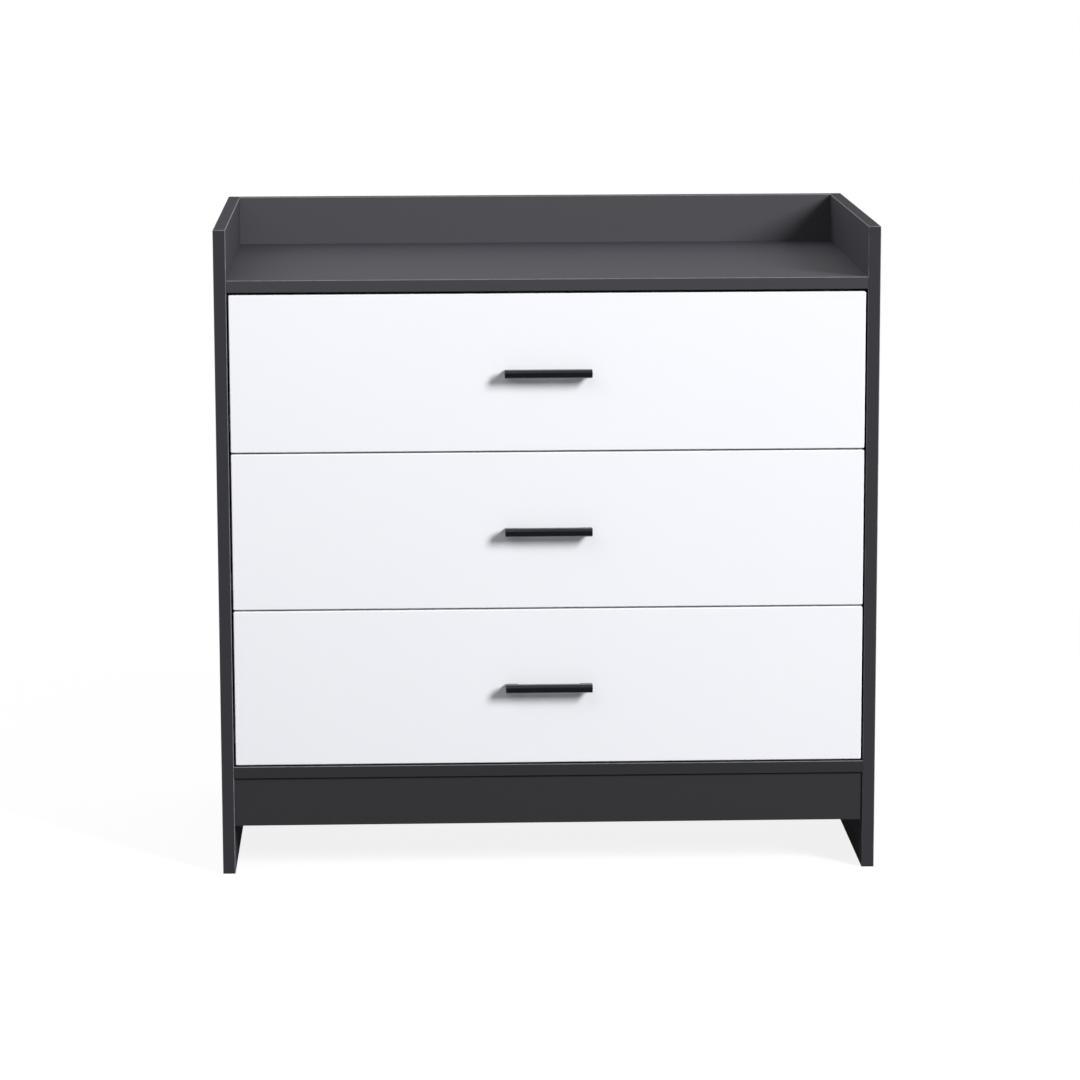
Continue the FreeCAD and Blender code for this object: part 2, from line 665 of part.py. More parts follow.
def drawer_cam_locks(level):
    """The cams in the outer faces of the box sides, with mouths towards the drawer front."""
    group = new_group(f"drawer_{level}_cam_locks", level_floor(level))
    size = ("Sizes.box_cam_diameter", "Sizes.box_cam_height")
    centre = (BOX_CAM_Y, BOX_CAM_Z)
    half = "Sizes.box_bolt_channel / 2"
    locks = []
    for hand in HANDS.values():
        face = f"{hand} * {BOX_HALF_WIDTH}"
        across = (f"{face} - {hand} * Sizes.box_cam_height", f"{hand} * ({BOX_BOLT_X} + {half})")
        left, right = across if hand > 0 else reversed(across)
        low = (left, f"{BOX_CAM_Y} - Sizes.box_cam_diameter", f"{BOX_CAM_Z} - {half}")
        high = (right, f"{BOX_CAM_Y} + Sizes.cam_mouth_overrun", f"{BOX_CAM_Z} + {half}")
        locks.append(cam("YZ", face, centre, -hand, size, block(low, high)))
    group.Links = locks


def drawer_cam_bolts(level):
    """Bolts screwed into the back of the drawer front, whose other ends reach the middle of the cams."""
    group = new_group(f"drawer_{level}_cam_bolts", level_floor(level))
    start = f"({FRONT_REAR} - Sizes.cam_bolt_thread)"
    size = ("Sizes.box_bolt_diameter", "(Sizes.cam_bolt_thread + Sizes.box_cam_setback)")
    group.Links = [bar("XZ", start, (f"{hand} * {BOX_BOLT_X}", BOX_CAM_Z), *size) for hand in HANDS.values()]


def handle(level):
    """A bow handle: a bar with a rounded front, on two lower legs flush with its ends."""
    underside = f"{level_floor(level)} + {HANDLE_MIDDLE} - Sizes.handle_height / 2"
    body = new_body(f"drawer_{level}_handle", underside)
    half_length = "(Sizes.handle_length / 2)"
    tip = "(Sizes.front_recess - Sizes.handle_projection)"
    bar_rear = f"({tip} + Sizes.handle_bar)"
    front = number(tip)
    rear = number(bar_rear)
    end = number(half_length)
    bow = Drawing(body, "XY", "0")
    bow.rectangle(f"-{half_length}", tip, half_length, bar_rear).pad("Sizes.handle_height")
    soften(body, "Fillet", "Sizes.handle_edge_radius", lambda edge: along(edge, 0) and is_at(edge, 1, front))
    # The chamfer runs on from each end's front edge, over the rounded edges to the rear.
    soften(
        body,
        "Chamfer",
        "Sizes.handle_end_chamfer",
        lambda edge: is_at(edge, 1, front) and reaches(edge, 0, end),
    )
    legs = Drawing(body, "XY", "(Sizes.handle_height - Sizes.handle_leg_height) / 2")
    for outer, inner in ((f"-{half_length}", "Sizes.handle_leg"), (half_length, "-Sizes.handle_leg")):
        legs.rectangle(outer, bar_rear, f"({outer} + {inner})", "Sizes.front_recess")
    legs.pad("Sizes.handle_leg_height")
    soften(
        body,
        "Fillet",
        "Sizes.handle_inner_radius",
        lambda edge: along(edge, 2) and is_at(edge, 1, rear) and not reaches(edge, 0, end),
    )
    for across in HANDLE_HOLES:
        centre = (across, "Sizes.handle_height / 2")
        hole(body, "XZ", "Sizes.front_recess", centre, HANDLE_SCREW_HOLE, "Sizes.handle_screw_bite", -1)


def handle_screws(level):
    """Machine screws from inside the drawer, through the front and into the handle's legs."""
    group = new_group(f"drawer_{level}_handle_screws", level_floor(level))
    head = ("Sizes.handle_screw_head", "Sizes.handle_screw_head_height")
    shank = (
        "Sizes.handle_screw_diameter",
        "(Sizes.front_board + Sizes.handle_screw_bite - Sizes.handle_screw_play)",
    )
    places = [(across, HANDLE_MIDDLE) for across in HANDLE_HOLES]
    group.Links = [screw("XZ", FRONT_REAR, centre, -1, head, shank) for centre in places]


def lane(hand, inset):
    """A place across the table, counted inwards from the inside of one side panel."""
    return f"{hand} * ({HALF_CLEAR} - ({inset}))"


def stud(body, hand, root, towards, roller_y):
    """A riveted stud with a collar and a head, on which a roller turns. It grows from the root inset."""
    grip = "(Sizes.roller_collar + Sizes.roller_width + 2 * Sizes.roller_side_play)"
    centre = (roller_y, ROLLER_AXIS)
    boss(body, "YZ", lane(hand, root), centre, "Sizes.stud_diameter", grip, -hand * towards)
    for start, length in (("0", "Sizes.roller_collar"), (grip, "Sizes.stud_head_height")):
        place = lane(hand, f"{root} + {towards} * {start}")
        boss(body, "YZ", place, centre, "Sizes.stud_head_diameter", length, -hand * towards)


def cabinet_rail(level, side, hand):
    """A C-shaped rail on the side panel: a track for the drawer's roller, stops, and a roller of its own."""
    body = new_body(f"cabinet_rail_{level}_{side}", level_floor(level))
    width = "Sizes.cabinet_rail_width"
    section = Drawing(body, "XZ", RAIL_FRONT)
    section.polygon(
        [
            (lane(hand, "0"), f"{TRACK_FACE} - Sizes.rail_sheet"),
            (lane(hand, width), f"{TRACK_FACE} - Sizes.rail_sheet"),
            (lane(hand, width), TRACK_FACE),
            (lane(hand, "Sizes.rail_sheet"), TRACK_FACE),
            (lane(hand, "Sizes.rail_sheet"), TRACK_CEILING),
            (lane(hand, width), TRACK_CEILING),
            (lane(hand, width), f"{TRACK_CEILING} + Sizes.rail_sheet"),
            (lane(hand, "0"), f"{TRACK_CEILING} + Sizes.rail_sheet"),
        ]
    ).pad("Sizes.box_length")
    entry = Drawing(body, "XZ", RAIL_FRONT)
    entry.rectangle(
        lane(hand, "Sizes.rail_sheet"),
        TRACK_CEILING,
        lane(hand, f"{width} + Sizes.rail_sheet"),
        f"{TRACK_CEILING} + 2 * Sizes.rail_sheet",
    ).pocket("Sizes.entry_length")
    stops = Drawing(body, "XY", TRACK_FACE)
    for front in (f"{OPEN_STOP_REAR} - Sizes.stop_thickness", CLOSED_STOP_FRONT):
        rear = f"{front} + Sizes.stop_thickness"
        stops.rectangle(lane(hand, STOP_NEAR), front, lane(hand, f"{STOP_NEAR} + Sizes.stop_width"), rear)
    stops.pad("Sizes.stop_height")
    for along_rail in CABINET_SCREWS:
        hole(body, "YZ", lane(hand, "0"), (along_rail, ROLLER_AXIS), SCREW_HOLE, "Sizes.rail_sheet", -hand)
    stud(body, hand, "Sizes.rail_sheet", 1, FRONT_ROLLER_Y)


def drawer_rail(level, side, hand):
    """A rail that holds the box side from below and carries the running flange and the rear roller."""
    body = new_body(f"drawer_{level}_rail_{side}", level_floor(level))
    web = "Sizes.runner_space - Sizes.rail_sheet"
    running = "Sizes.runner_space - Sizes.running_flange_width"
    holding = "Sizes.runner_space + Sizes.holding_flange_width"
    section = Drawing(body, "XZ", RAIL_FRONT)
    section.polygon(
        [
            (lane(hand, web), "Sizes.box_lift - Sizes.rail_sheet"),
            (lane(hand, holding), "Sizes.box_lift - Sizes.rail_sheet"),
            (lane(hand, holding), "Sizes.box_lift"),
            (lane(hand, "Sizes.runner_space"), "Sizes.box_lift"),
            (lane(hand, "Sizes.runner_space"), f"{RUNNING_FACE} + Sizes.rail_sheet"),
            (lane(hand, running), f"{RUNNING_FACE} + Sizes.rail_sheet"),
            (lane(hand, running), RUNNING_FACE),
            (lane(hand, web), RUNNING_FACE),
        ]
    ).pad("Sizes.box_length - Sizes.rail_front_gap")
    for along_rail in BOX_SCREWS:
        centre = (lane(hand, BOX_SCREW_INSET), along_rail)
        hole(body, "XY", "Sizes.box_lift - Sizes.rail_sheet", centre, SCREW_HOLE, "Sizes.rail_sheet")
    stud(body, hand, f"({web})", -1, REAR_ROLLER_Y)


def roller_pair(name, level, inset, towards, roller_y):
    """The rollers of the left and right rails, which turn about one line."""
    body = new_body(name, level_floor(level))
    roller = Drawing(body, "YZ", lane(-1, inset))
    roller.circle(roller_y, ROLLER_AXIS, "Sizes.roller_diameter")
    roller.circle(roller_y, ROLLER_AXIS, "Sizes.stud_diameter + 2 * Sizes.stud_play")
    mirror(body, [roller.pad("Sizes.roller_width", towards)])


def runner_screws():
    """Flat-headed screws that hold the cabinet rails to the side panels."""
    group = new_group("runner_screws")
    head = ("Sizes.screw_head_diameter", "Sizes.screw_head_height")
    shank = ("Sizes.screw_diameter", "Sizes.screw_length")
    screws = []
    for level in LEVELS:
        for along_rail in CABINET_SCREWS:
            centre = (along_rail, f"{level_floor(level)} + {ROLLER_AXIS}")
            for hand in HANDS.values():
                screws.append(screw("YZ", lane(hand, "Sizes.rail_sheet"), centre, hand, head, shank))
    group.Links = screws


def drawer_rail_screws(level):
    """Screws up through the drawer rails into the lower edges of the box sides."""
    group = new_group(f"drawer_{level}_rail_screws", level_floor(level))
    underside = "(Sizes.box_lift - Sizes.rail_sheet)"
    head = ("Sizes.screw_head_diameter", "Sizes.screw_head_height")
    shank = ("Sizes.screw_diameter", BOX_SCREW_LENGTH)
    screws = []
    for along_rail in BOX_SCREWS:
        for hand in HANDS.values():
            centre = (lane(hand, BOX_SCREW_INSET), along_rail)
            screws.append(screw("XY", underside, centre, 1, head, shank))
    group.Links = screws


def failures():
    """Objects that did not compute, cuts that removed nothing and pieces with a bad shape."""
    found = [item.Label for item in document.Objects if {"Invalid", "Error"} & set(item.State)]
    for item in document.Objects:
        if item.TypeId in ("PartDesign::Pocket", "PartDesign::SubtractivePrism"):
            uncut = item.BaseFeature
        elif item.TypeId == "Part::Cut":
            uncut = item.Base
        else:
            continue
        if item.Shape.Volume > uncut.Shape.Volume - NEAR:
            found.append(f"{item.Label} removes nothing")
    found += [piece.Label for piece in pieces if piece.Shape.isNull() or not piece.Shape.isValid()]
    return found


for side_name, hand_sign in HANDS.items():
    side_panel(side_name, hand_sign)
top_board()
back_upstand()
bottom_board()
plinth_board()
back_panel()
back_panel_nails()
cam_locks()
cam_bolts()
runner_screws()
for drawer in LEVELS:
    roller_pair(
        f"cabinet_rollers_{drawer}",
        drawer,
        "Sizes.rail_sheet + Sizes.roller_collar + Sizes.roller_side_play",
        1,
        FRONT_ROLLER_Y,
    )
    roller_pair(
        f"drawer_{drawer}_rollers",
        drawer,
        "Sizes.runner_space - Sizes.rail_sheet - Sizes.roller_collar - Sizes.roller_side_play",
        -1,
        REAR_ROLLER_Y,
    )
    for side_name, hand_sign in HANDS.items():
        cabinet_rail(drawer, side_name, hand_sign)
        drawer_rail(drawer, side_name, hand_sign)
        drawer_side(drawer, side_name, hand_sign)
    drawer_front(drawer)
    drawer_back(drawer)
    drawer_bottom(drawer)
    drawer_cam_locks(drawer)
    drawer_cam_bolts(drawer)
    handle(drawer)
    handle_screws(drawer)
    drawer_rail_screws(drawer)

document.recompute()
broken = failures()
if broken:
    raise SystemExit("these did not build: " + ", ".join(broken))
os.makedirs("parts", exist_ok=True)
for piece in pieces:
    piece.Shape.exportStep(os.path.join("parts", f"{piece.Label}.step"))
print(f"{len(pieces)} pieces written to parts")
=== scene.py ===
"""A changing chest with three drawers: its finishes, its small fittings in full detail, and a white studio.

Lengths are in metres, and MM turns millimetres into them. X runs to the chest's right, Y to its rear and Z up.
"""

from collections import namedtuple
import math

import bpy
import numpy as np
from mathutils import Matrix, Vector


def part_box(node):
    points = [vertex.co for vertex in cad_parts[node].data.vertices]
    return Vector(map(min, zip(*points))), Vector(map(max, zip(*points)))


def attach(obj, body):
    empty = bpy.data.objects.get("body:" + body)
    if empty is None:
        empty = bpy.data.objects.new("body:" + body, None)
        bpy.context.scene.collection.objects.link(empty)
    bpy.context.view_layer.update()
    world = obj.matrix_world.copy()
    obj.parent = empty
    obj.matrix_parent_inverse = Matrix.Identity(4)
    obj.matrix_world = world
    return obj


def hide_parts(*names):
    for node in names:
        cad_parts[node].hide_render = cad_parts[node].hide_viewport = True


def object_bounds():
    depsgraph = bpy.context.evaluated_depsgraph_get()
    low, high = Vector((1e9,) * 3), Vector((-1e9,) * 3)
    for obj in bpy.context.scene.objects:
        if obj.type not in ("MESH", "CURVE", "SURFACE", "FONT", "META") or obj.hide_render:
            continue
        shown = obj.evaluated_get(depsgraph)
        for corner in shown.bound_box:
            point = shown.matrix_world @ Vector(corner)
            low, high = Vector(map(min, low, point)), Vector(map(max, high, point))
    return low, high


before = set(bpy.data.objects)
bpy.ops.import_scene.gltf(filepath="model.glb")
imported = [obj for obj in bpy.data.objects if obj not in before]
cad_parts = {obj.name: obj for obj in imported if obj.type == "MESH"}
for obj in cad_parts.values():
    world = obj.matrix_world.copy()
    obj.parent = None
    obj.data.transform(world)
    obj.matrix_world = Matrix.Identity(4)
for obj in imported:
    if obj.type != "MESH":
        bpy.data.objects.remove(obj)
construction_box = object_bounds()

MM = 0.001
FINEST = 0.02 * MM
DRAWERS = (1, 2, 3)
SIDES = ("left", "right")
X, Y, Z = 0, 1, 2


# ---------------------------------------------------------------- shader language


def screen(red, green, blue):
    """A colour given by its screen values of 0 to 255, as the linear light that a shader works in."""
    values = np.array([red, green, blue]) / 255
    linear = np.where(values <= 0.04045, values / 12.92, ((values + 0.055) / 1.055) ** 2.4)
    return (*linear.tolist(), 1.0)


class Value:
    """A number, colour or vector that changes over a surface. Python's operators on numbers add Math nodes."""

    def __init__(self, finish, socket):
        self.finish = finish
        self.socket = socket

    def math(self, operation, *numbers):
        return self.finish.node("ShaderNodeMath", {"operation": operation}, dict(enumerate(numbers)))

    def __add__(self, other):
        return self.math("ADD", self, other)

    def __radd__(self, other):
        return self.math("ADD", other, self)

    def __sub__(self, other):
        return self.math("SUBTRACT", self, other)

    def __rsub__(self, other):
        return self.math("SUBTRACT", other, self)

    def __mul__(self, other):
        return self.math("MULTIPLY", self, other)

    def __rmul__(self, other):
        return self.math("MULTIPLY", other, self)

    def __abs__(self):
        return self.math("ABSOLUTE", self)

    def larger(self, other):
        return self.math("MAXIMUM", self, other)

    def step(self, low, high):
        """0 where the number is below low, 1 above high, and a smooth rise between them."""
        settings = {"interpolation_type": "SMOOTHSTEP"}
        return self.finish.node("ShaderNodeMapRange", settings, {"Value": self, "From Min": low, "From Max": high})


class Finish:
    """A material under construction. Its patterns are worked out from each point's place, in metres."""

    def __init__(self, name, **fixed):
        self.material = bpy.data.materials.new(name)
        self.material.use_nodes = True
        self.tree = self.material.node_tree
        self.tree.nodes.clear()
        self.output = self.tree.nodes.new("ShaderNodeOutputMaterial")
        self.shader = self.tree.nodes.new("ShaderNodeBsdfPrincipled")
        self.tree.links.new(self.shader.outputs[0], self.output.inputs["Surface"])
        self.place = self.node("ShaderNodeTexCoord", output="Object")
        self.facing = self.parts(self.node("ShaderNodeTexCoord", output="Normal"))
        self.paint(**fixed)

    def node(self, kind, settings=None, inputs=None, output=0):
        """Adds a node of that type, with its settings first and then its sockets' values or links."""
        made = self.tree.nodes.new(kind)
        for setting, value in (settings or {}).items():
            setattr(made, setting, value)
        for socket, value in (inputs or {}).items():
            self.feed(made.inputs[socket], value)
        return Value(self, made.outputs[output])

    def feed(self, socket, value):
        if isinstance(value, Value):
            self.tree.links.new(value.socket, socket)
        else:
            socket.default_value = value

    def paint(self, **sockets):
        """Sets the shader's sockets by name, with _ for a space."""
        for name, value in sockets.items():
            self.feed(self.shader.inputs[name.replace("_", " ").title().replace("Ior", "IOR")], value)

    def parts(self, vector):
        """The three numbers of a vector."""
        return [self.node("ShaderNodeSeparateXYZ", None, {0: vector}, axis) for axis in (X, Y, Z)]

    def mix(self, mask, first, second):
        """The first colour where the mask is 0 and the second where it is 1."""
        return self.node("ShaderNodeMix", {"data_type": "RGBA"}, {0: mask, 6: first, 7: second}, 2)

    def stretched(self, size, stretch):
        """The place counted in grains of that size, drawn out by stretch along each axis."""
        scale = tuple(1 / (size * times) for times in stretch)
        return self.node("ShaderNodeMapping", None, {"Vector": self.place, "Scale": scale})

    def clouds(self, size, detail=2.0, stretch=(1, 1, 1)):
        """Soft noise from 0 to 1 with patches of about that size."""
        inputs = {"Vector": self.stretched(size, stretch), "Scale": 1.0, "Detail": detail}
        return self.node("ShaderNodeTexNoise", None, inputs)

    def grains(self, size, stretch):
        """Cells of about that size, each with a random colour of its own."""
        inputs = {"Vector": self.stretched(size, stretch), "Scale": 1.0}
        return self.node("ShaderNodeTexVoronoi", None, inputs, "Color")

    def relief(self, height, depth):
        """Bumps whose height of 1 stands that many metres proud."""
        self.paint(normal=self.node("ShaderNodeBump", None, {"Strength": 1.0, "Distance": depth, "Height": height}))

    def arrises(self):
        """1 on the narrow chamfers between a board's faces, 0 on the faces themselves."""
        x, y, z = (abs(part) for part in self.facing)
        return (1 - x.larger(y).larger(z)).step(0.04, 0.2)


# ---------------------------------------------------------------- finishes

# One anthracite melamine for every board. The upstand's grey and the top edges' grey are painted lighter, and the
# bottom board's and plinth's grey is painted darker. This is painted light and shade that runs lighter higher up the
# chest.
ANTHRACITE = screen(62, 61, 68)
ANTHRACITE_UPRIGHT = screen(58, 57, 63)
ANTHRACITE_UPSTAND_PAINTED_LIGHTER = screen(68, 67, 73)
ANTHRACITE_LOW_PAINTED_SHADE = screen(47, 47, 50)
ANTHRACITE_EDGE = screen(54, 54, 59)
ANTHRACITE_TOP_EDGE_PAINTED_LIGHTER = screen(64, 64, 69)
# A painted highlight for the chamfers, and painted shade for the chamfers that face down.
ANTHRACITE_ARRIS_PAINTED_HIGHLIGHT = screen(116, 116, 122)
ANTHRACITE_SEAM_PAINTED_SHADE = screen(16, 16, 18)
WHITE = screen(238, 240, 245)
WHITE_EDGE_AND_PAINTED_HIGHLIGHT = screen(246, 247, 250)
DRAWER_WHITE = screen(218, 218, 215)
FLAKE_DARK = screen(120, 88, 58)
FLAKE_LIGHT = screen(205, 176, 134)
FLAKE_HEIGHT = 8.0


def chipboard(finish):
    """The colour and height of a sawn chipboard edge: flat flakes pressed along the board."""
    flakes = finish.grains(1.6 * MM, (1.5, 1.0, 1.5))
    tone = finish.parts(flakes)[X] * 0.7 + finish.clouds(0.5 * MM) * 0.3
    return finish.mix(tone, FLAKE_DARK, FLAKE_LIGHT), tone


def laminate(name, face_axis, colour, edge, arris_highlight, seam_shade, sheen=0.4, bare=()):
    """Melamine-faced board: a fine pearl face, smoother and duller edge strips round it, a painted highlight on the
    arrises that is paler in some stretches than others, painted shade on the arrises that face down, as in the shadow
    of a joint, and bare chipboard where a maker leaves an edge unfinished. The bare edges are pairs of axis and sign."""
    finish = Finish(name, ior=1.5, specular_ior_level=sheen)
    pearl = finish.clouds(0.9 * MM, 3.0)
    cast = finish.clouds(180 * MM, 2.0)
    strip = 1 - abs(finish.facing[face_axis]).step(0.5, 0.9)
    chamfer = finish.arrises() * (0.7 + 0.3 * finish.clouds(14 * MM, 3.0).step(0.35, 0.6))
    shade = finish.mix(cast * 0.16, colour, edge)
    shade = finish.mix(strip, shade, edge)
    # Arrises get a painted highlight, and those that face down get painted shade.
    shade = finish.mix(chamfer, shade, finish.mix((finish.facing[Z] * -1).step(0.3, 0.6), arris_highlight, seam_shade))
    roughness = 0.64 + pearl * 0.12 + strip * 0.26 - chamfer * 0.3
    height = pearl * (1 - strip * 0.7)
    for axis, sign in bare:
        sawn = (finish.facing[axis] * sign).step(0.8, 0.95)
        wood, flakes = chipboard(finish)
        shade = finish.mix(sawn, shade, wood)
        roughness = roughness + sawn * 0.4
        height = height + sawn * flakes * FLAKE_HEIGHT
    finish.paint(base_color=shade, roughness=roughness)
    finish.relief(height, 0.02 * MM)
    return finish.material


def hardboard(name, axis, sign):
    """Pressed fibre sheet, lacquered white on the face that looks along one axis and bare brown elsewhere."""
    finish = Finish(name, ior=1.45)
    lacquered = (finish.facing[axis] * sign).step(0.8, 0.95)
    fibres = finish.clouds(1.2 * MM, 4.0, (3, 3, 3))
    hairs = finish.clouds(0.4 * MM, 2.0, (1, 6, 6))
    blotches = finish.clouds(60 * MM, 3.0)
    tone = fibres * 0.4 + hairs * 0.3 + blotches * 0.3
    brown = finish.mix(tone.step(0.25, 0.75), screen(132, 98, 68), screen(182, 144, 104))
    finish.paint(base_color=finish.mix(lacquered, brown, DRAWER_WHITE), roughness=0.78 - lacquered * 0.34)
    finish.relief(hairs * (1 - lacquered * 0.8), 0.05 * MM)
    return finish.material


def satin_black(name):
    """Black powder coat with a cool satin sheen, a fine orange peel and slightly rubbed corners."""
    finish = Finish(name, ior=1.5, specular_ior_level=0.5, specular_tint=(0.82, 0.89, 1.0, 1.0))
    peel = finish.clouds(0.7 * MM, 2.0)
    rubbed = finish.clouds(9 * MM, 3.0)
    finish.paint(base_color=finish.mix(rubbed * 0.5, screen(4, 4, 5), screen(10, 10, 12)))
    finish.paint(roughness=0.2 + rubbed * 0.08)
    finish.relief(peel, 0.01 * MM)
    return finish.material


def bright_metal(name, colour, tarnish, roughness, grain):
    """Plated metal: a slightly uneven tone and gloss, with fine scratches or a cast skin of the given grain."""
    finish = Finish(name, metallic=1.0)
    patches = finish.clouds(3 * MM, 3.0)
    skin = finish.clouds(grain, 3.0, (1, 1, 3))
    finish.paint(base_color=finish.mix(patches.step(0.3, 0.8), colour, tarnish), roughness=roughness + skin * 0.16)
    finish.relief(skin, 0.01 * MM)
    return finish.material


def epoxy(name):
    """White epoxy powder baked onto rail steel, with an orange peel that dulls its shine."""
    finish = Finish(name, ior=1.5)
    peel = finish.clouds(1.5 * MM, 1.0)
    dust = finish.clouds(25 * MM, 3.0)
    finish.paint(base_color=finish.mix(dust * 0.6, screen(232, 230, 224), screen(215, 213, 206)))
    finish.paint(roughness=0.3 + peel * 0.12)
    finish.relief(peel, 0.04 * MM)
    return finish.material


def nylon(name):
    """Natural nylon: milky, a little darker and duller where it runs."""
    finish = Finish(name, ior=1.53)
    cloud = finish.clouds(2 * MM, 3.0)
    finish.paint(base_color=finish.mix(cloud, screen(226, 223, 212), screen(208, 203, 190)))
    finish.paint(roughness=0.38 + cloud * 0.14)
    finish.relief(finish.clouds(0.3 * MM), 0.01 * MM)
    return finish.material


def anthracite(name, face_axis, colour, edge, sheen, bare=()):
    return laminate(name, face_axis, colour, edge, ANTHRACITE_ARRIS_PAINTED_HIGHLIGHT, ANTHRACITE_SEAM_PAINTED_SHADE, sheen, bare)


ZINC = bright_metal("cast_zinc", screen(176, 177, 180), screen(146, 147, 150), 0.36, 0.6 * MM)
STEEL = bright_metal("zinced_steel", screen(206, 207, 206), screen(186, 182, 168), 0.22, 0.3 * MM)
EPOXY = epoxy("epoxy_coated_steel")
NYLON = nylon("natural_nylon")
BLACK = satin_black("satin_black_coat")


# ---------------------------------------------------------------- dressing the construction


def dress(node, material):
    """Gives a node of the construction its finish."""
    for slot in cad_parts[node].material_slots:
        slot.material = material


def dress_carcass():
    rear = [(Y, 1)]
    upright = anthracite("anthracite_upright", X, ANTHRACITE_UPRIGHT, ANTHRACITE_EDGE, sheen=0.12, bare=rear)
    # The upstand and the top board's edges are painted lighter, and the bottom board and plinth painted darker, as
    # painted light and shade.
    top = anthracite("anthracite_top_painted_light_edge", Z, ANTHRACITE, ANTHRACITE_TOP_EDGE_PAINTED_LIGHTER, sheen=0.15, bare=rear)
    upstand = anthracite("anthracite_upstand_painted_lighter", Y, ANTHRACITE_UPSTAND_PAINTED_LIGHTER, ANTHRACITE_TOP_EDGE_PAINTED_LIGHTER, sheen=0.4)
    shelf = anthracite("anthracite_shelf_painted_shade", Z, ANTHRACITE_LOW_PAINTED_SHADE, ANTHRACITE_LOW_PAINTED_SHADE, sheen=0.2, bare=rear)
    plinth = anthracite("anthracite_plinth_painted_shade", Y, ANTHRACITE_LOW_PAINTED_SHADE, ANTHRACITE_LOW_PAINTED_SHADE, sheen=0.2)
    for side in SIDES:
        dress(f"side_panel_{side}", upright)
    dress("top_board", top)
    dress("bottom_board", shelf)
    dress("back_upstand", upstand)
    dress("plinth_board", plinth)
    dress("back_panel", hardboard("hardboard_back", Y, -1))


def dress_drawers():
    # The fronts' edge strips are a slightly lighter white, and the same white is painted on their arrises as a
    # highlight. The drawer boxes' arrises get a lighter white as a painted highlight.
    front = laminate("white_front", Y, WHITE, WHITE_EDGE_AND_PAINTED_HIGHLIGHT, WHITE_EDGE_AND_PAINTED_HIGHLIGHT, WHITE)
    box_side = laminate("drawer_side_foil", X, DRAWER_WHITE, DRAWER_WHITE, WHITE, DRAWER_WHITE)
    box_back = laminate("drawer_back_foil", Y, DRAWER_WHITE, DRAWER_WHITE, WHITE, DRAWER_WHITE)
    floor = hardboard("hardboard_floor", Z, 1)
    for level in DRAWERS:
        dress(f"drawer_{level}_front", front)
        dress(f"drawer_{level}_back", box_back)
        dress(f"drawer_{level}_bottom", floor)
        for side in SIDES:
            dress(f"drawer_{level}_side_{side}", box_side)
            dress(f"drawer_{level}_rail_{side}", EPOXY)
            dress(f"cabinet_rail_{level}_{side}", EPOXY)


# ---------------------------------------------------------------- surfaces


def line(start, end, steps=1):
    """Points on the straight stretch from start to end."""
    return np.linspace(start, end, steps + 1)


def bend(centre, radius, start, end, steps=6):
    """Points on an arc: centre + radius * (cos(turn), sin(turn)), the turn running from start to end in degrees."""
    turn = np.radians(np.linspace(start, end, steps + 1))
    return np.array(centre) + radius * np.column_stack([np.cos(turn), np.sin(turn)])


def turned(profile, seat, spokes, relief):
    """Rings of a solid turned on the seat's drive. A profile point (along, out) at the angle v lies at start +
    along * drive + out * (cos(v) * across + sin(v) * drive x across), once the relief has changed along and out."""
    angle = np.arange(spokes) * 2 * np.pi / spokes
    along, out = (np.repeat(part[:, None], spokes, axis=1) for part in np.vstack(profile).T)
    along, out = relief(along, out, angle)
    spoke = np.cos(angle)[:, None] * seat.across + np.sin(angle)[:, None] * np.cross(seat.drive, seat.across)
    return seat.start + along[..., None] * seat.drive + out[..., None] * spoke


def swept(places, low, high, radii, inset, axis, steps=6):
    """Rings of a bar with rounded corners, one for each place along an axis. A ring fills the oblong from low to high
    less the inset, and its corner k is a quarter circle of radius radii[k] - inset."""
    first, second = (axis + 1) % 3, (axis + 2) % 3
    count = len(places)
    low, high = (np.broadcast_to(end, (count, 2))[:, None] for end in (low, high))
    inset = np.broadcast_to(inset, count)[:, None]
    radius = np.maximum(np.array(radii) - inset, FINEST)
    side = np.array([[1, 1], [-1, 1], [-1, -1], [1, -1]])
    centre = np.where(side > 0, high, low) - side * (inset + radius)[..., None]
    turn = np.radians(np.linspace(0, 90, steps + 1) + 90 * np.arange(4)[:, None])
    arc = np.stack([np.cos(turn), np.sin(turn)], -1)
    ring = (centre[:, :, None] + radius[:, :, None, None] * arc).reshape(count, -1, 2)
    points = np.empty((*ring.shape[:2], 3))
    points[..., axis] = np.array(places)[:, None]
    points[..., first] = ring[..., 0]
    points[..., second] = ring[..., 1]
    return points


def shell(rings, looped=False):
    """Points and faces of the skin over the rings. Its ends are closed at the middle of the first and the last ring,
    or joined to each other where it is looped."""
    count, spokes = rings.shape[:2]
    here = np.arange(spokes)
    beside = np.roll(here, -1)
    ring = np.arange(count if looped else count - 1)[:, None] * spokes
    after = (ring + spokes) % (count * spokes)
    quads = np.stack([here + ring, beside + ring, beside + after, here + after], -1).reshape(-1, 4).tolist()
    points = rings.reshape(-1, 3)
    if looped:
        return points, quads
    last = (count - 1) * spokes
    near_pole, far_pole = (np.full(spokes, len(points) + end) for end in (0, 1))
    near = np.column_stack([near_pole, beside, here])
    far = np.column_stack([far_pole, here + last, beside + last])
    return np.vstack([points, rings[0].mean(axis=0), rings[-1].mean(axis=0)]), quads + near.tolist() + far.tolist()


